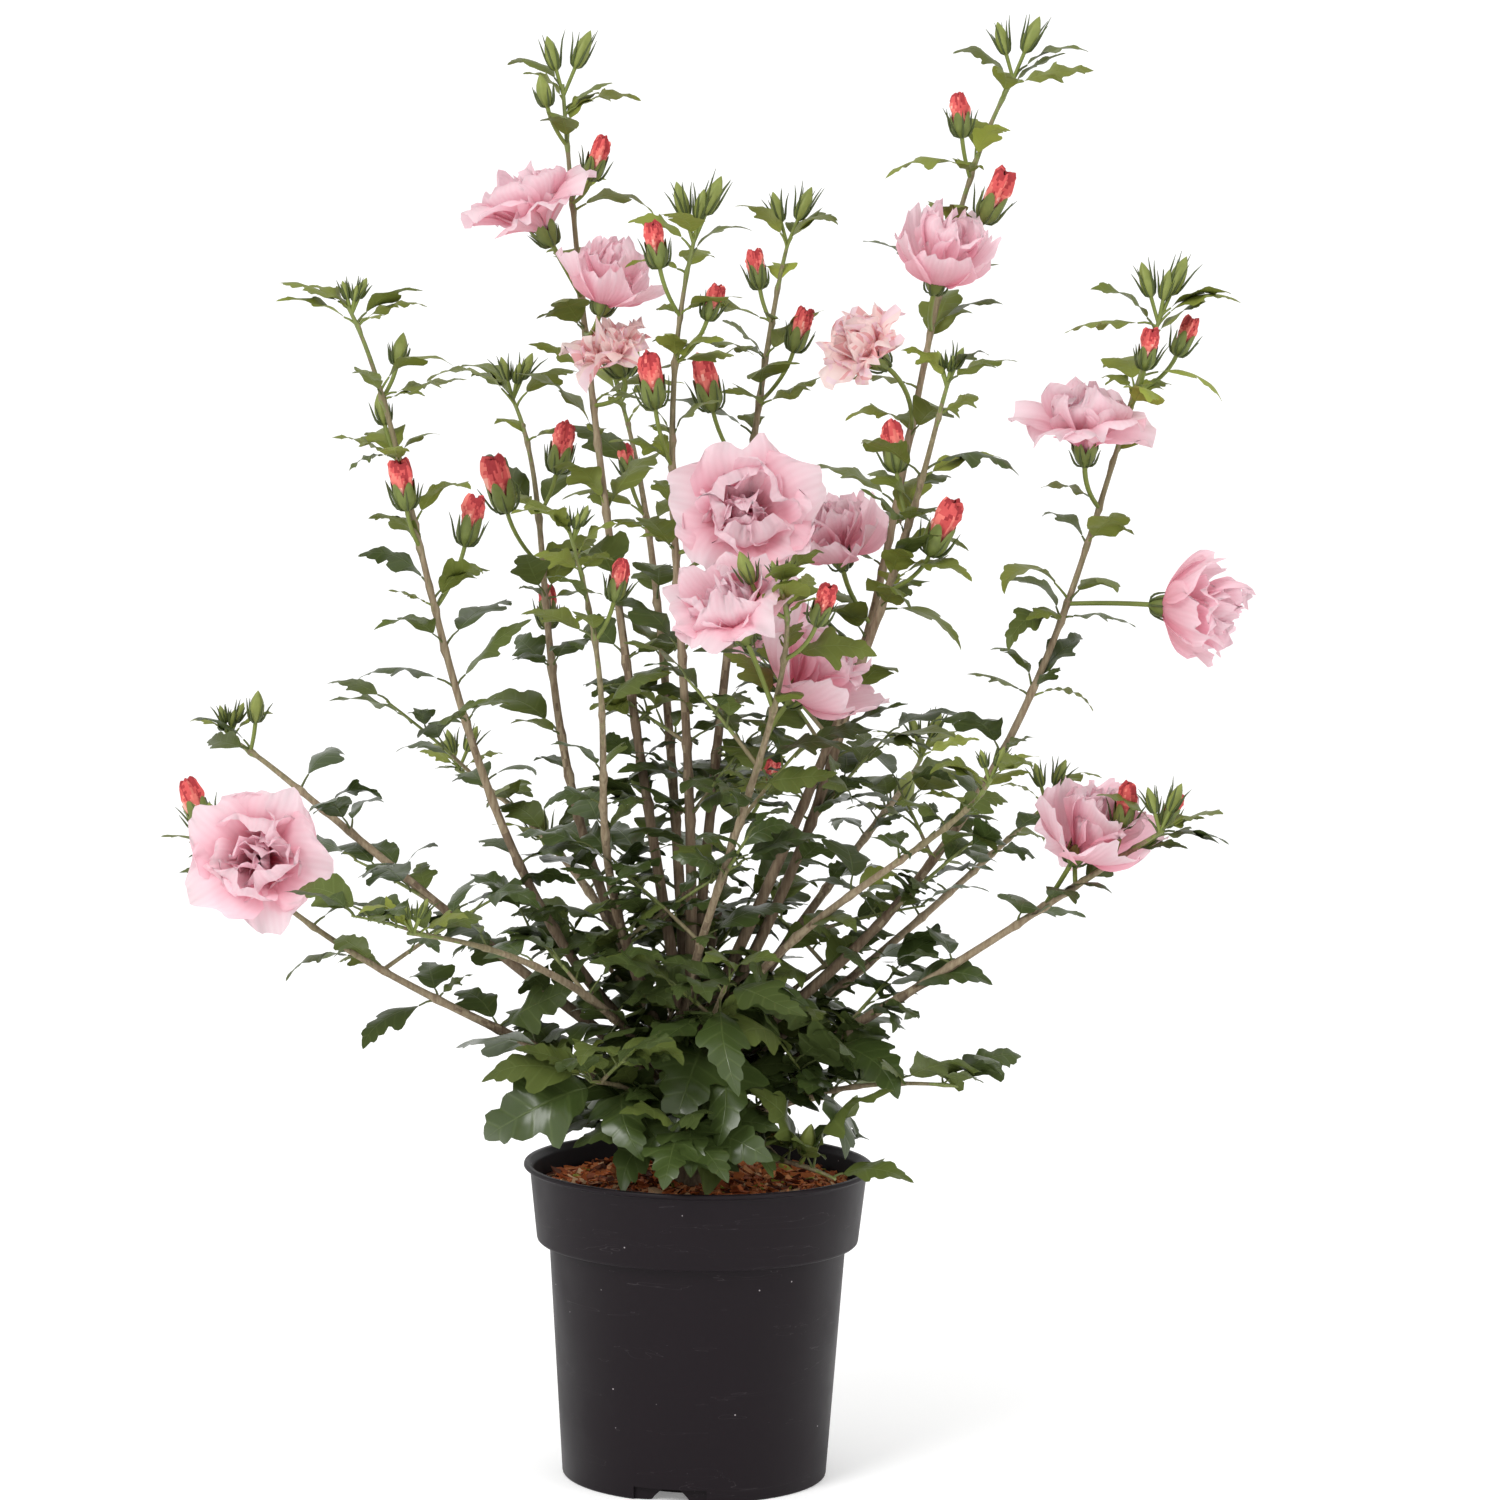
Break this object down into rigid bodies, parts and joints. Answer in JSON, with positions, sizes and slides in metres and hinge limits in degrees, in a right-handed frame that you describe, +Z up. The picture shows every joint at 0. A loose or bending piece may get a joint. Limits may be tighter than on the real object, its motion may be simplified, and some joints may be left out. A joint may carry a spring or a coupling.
{
  "type": "potted hibiscus shrub",
  "caption": "Flowering garden shrub with pale pink double blooms, coral buds and dark lobed leaves on upright wands, in a plain black nursery pot filled with bark mulch.",
  "frame": {"origin": "centre of the pot's flat underside", "axes": "+Z up the plant, -Y towards the front, +X to the right seen from the front"},
  "size_m": [0.6862, 0.5647, 0.954],
  "materials": {
    "pot_plastic": "black moulded polypropylene, satin, faintly scuffed and dusty",
    "bark_mulch": "fine red-brown pine bark chips, dry and matt",
    "stem_bark": "smooth taupe bark with pale pores, young wood greener",
    "foliage": "lobed leaves, glossy dark green above, paler veins, fresh green at the tips",
    "petals": "thin crinkled petals, pale pink, deeper pink towards the throat",
    "bud_petals": "crumpled coral-red petals that are about to open",
    "calyx": "soft green calyx with thin darker bracts"
  },
  "bodies": {
    "root": {"pot": "pot_plastic", "bark_mulch": "bark_mulch", "trunk": "stem_bark", "bough_back_centre": "stem_bark", "bough_back_far_right": "stem_bark", "bough_back_left": "stem_bark", "bough_back_right": "stem_bark", "bough_centre_back": "stem_bark", "bough_centre_right": "stem_bark", "bough_centre_top": "stem_bark", "bough_front_centre": "stem_bark", "bough_front_left": "stem_bark", "bough_left_far": "stem_bark", "bough_left_front": "stem_bark", "bough_left_low": "stem_bark", "bough_left_mid": "stem_bark", "bough_left_tall": "stem_bark", "bough_left_top": "stem_bark", "bough_right_front": "stem_bark", "bough_right_inner": "stem_bark", "bough_right_low": "stem_bark", "bough_right_tall": "stem_bark", "bough_right_top": "stem_bark", "inner_shoot_back": "foliage", "inner_shoot_front": "foliage", "inner_shoot_left": "foliage", "inner_shoot_right": "foliage", "leafy_back_centre": "foliage", "leafy_back_far_right": "foliage", "leafy_back_left": "foliage", "leafy_back_right": "foliage", "leafy_centre_back": "foliage", "leafy_centre_right": "foliage", "leafy_centre_top": "foliage", "leafy_front_centre": "foliage", "leafy_front_left": "foliage", "leafy_left_far": "foliage", "leafy_left_front": "foliage", "leafy_left_low": "foliage", "leafy_left_mid": "foliage", "leafy_left_tall": "foliage", "leafy_left_top": "foliage", "leafy_right_front": "foliage", "leafy_right_inner": "foliage", "leafy_right_low": "foliage", "leafy_right_tall": "foliage", "leafy_right_top": "foliage", "low_shoot_back": "foliage", "low_shoot_back_left": "foliage", "low_shoot_back_right": "foliage", "low_shoot_front": "foliage", "low_shoot_front_left": "foliage", "low_shoot_left": "foliage", "low_shoot_right": "foliage", "low_shoot_rim": "foliage"}
  },
  "joints": []
}
